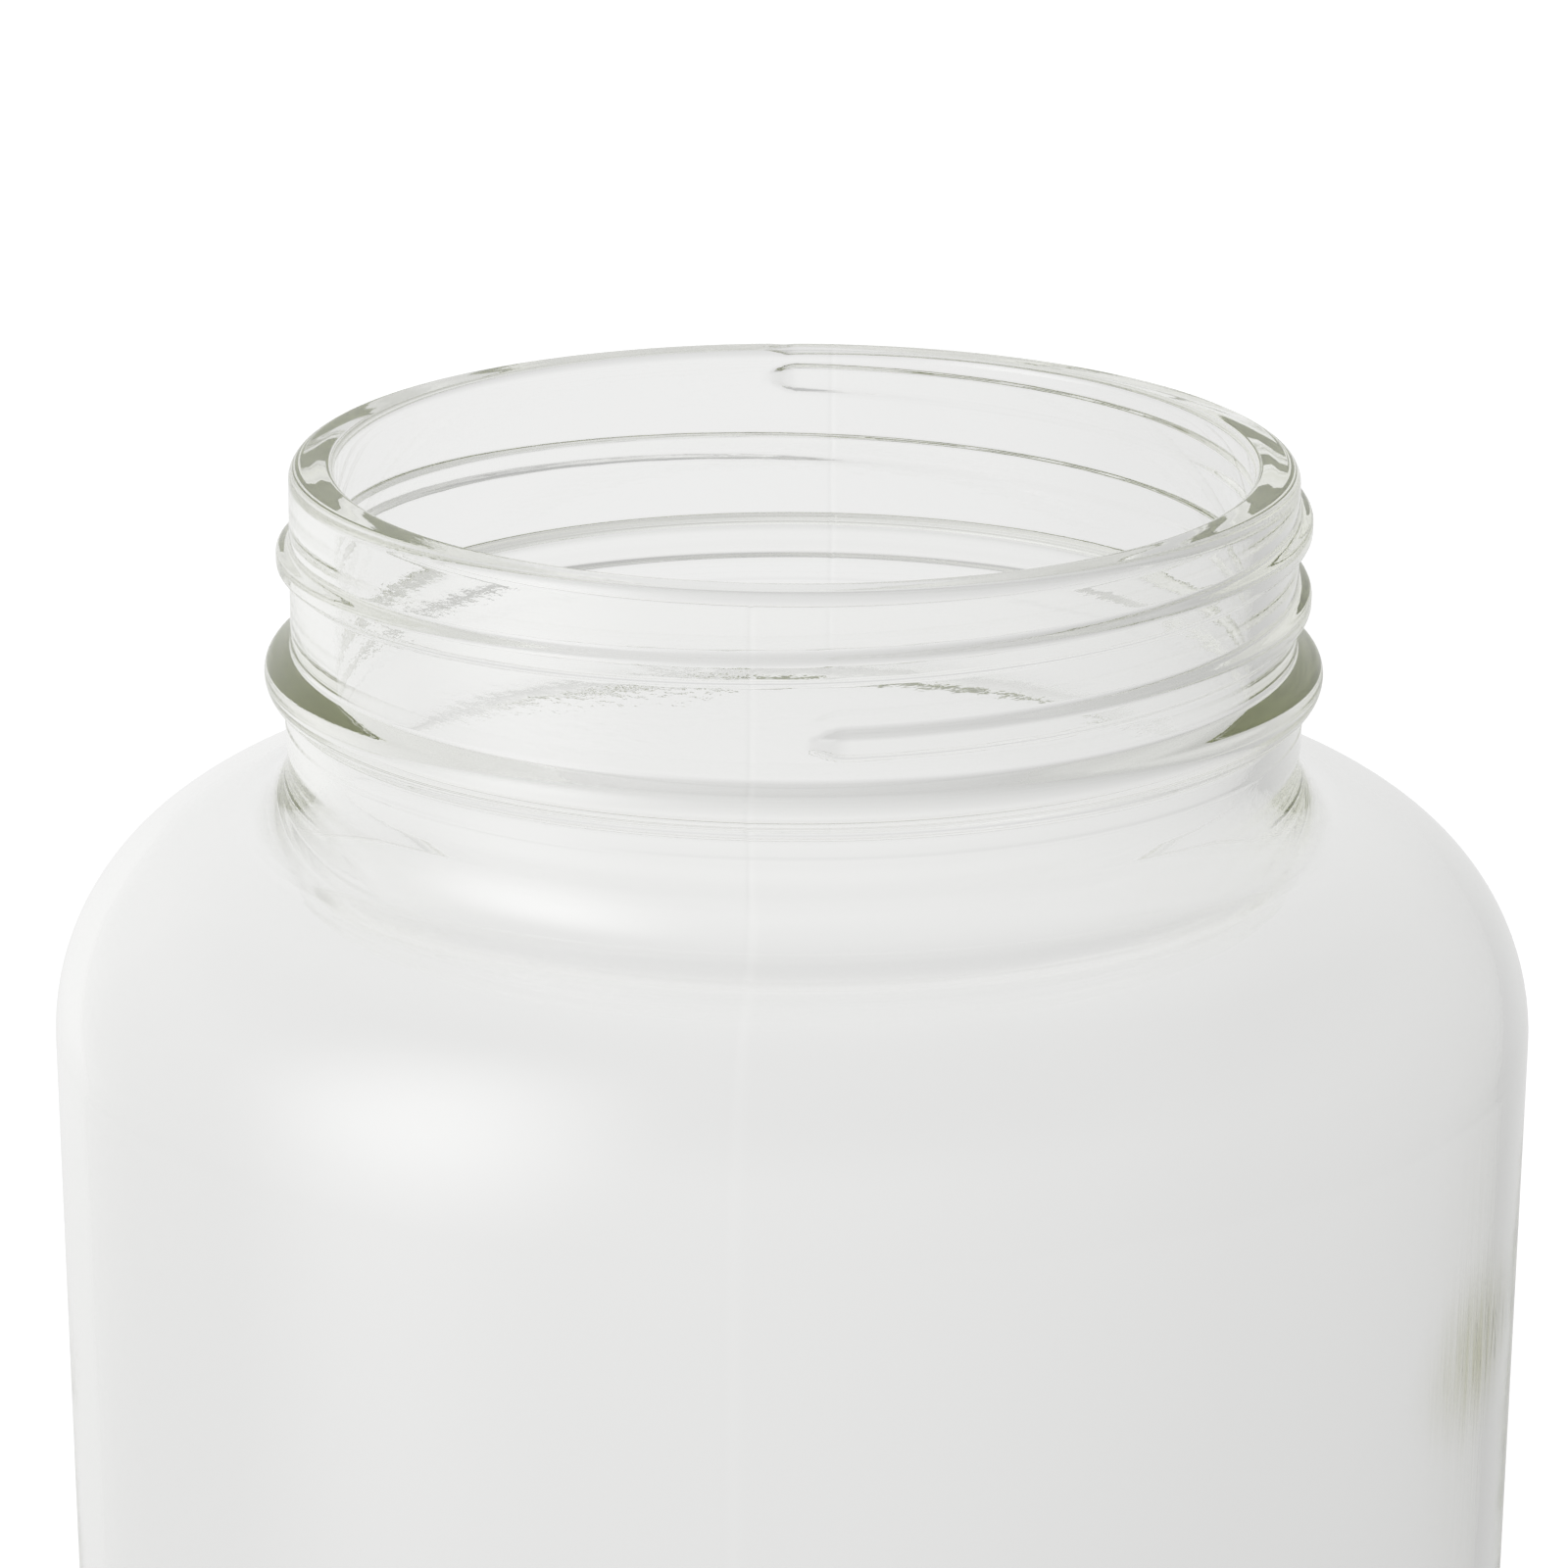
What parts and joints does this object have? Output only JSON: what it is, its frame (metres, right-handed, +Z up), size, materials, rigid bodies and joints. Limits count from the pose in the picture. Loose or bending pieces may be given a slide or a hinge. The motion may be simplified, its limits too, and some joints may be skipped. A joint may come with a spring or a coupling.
{
  "type": "glass storage jar",
  "caption": "Wide-mouthed clear glass jar with a screw-thread neck, a collar bead, a rounded shoulder and a gently tapered round body.",
  "frame": {"origin": "centre of the bearing ring, on the surface that the jar stands on", "axes": "+Z up along the jar's axis; -Y is the front, where the thread ends, and +X is the right-hand side"},
  "size_m": [0.1238, 0.1238, 0.205],
  "materials": {
    "clear_glass": "fire-polished clear soda-lime glass, with a faint olive tint where it is thick"
  },
  "bodies": {
    "root": {"glass_jar": "clear_glass"}
  },
  "joints": []
}
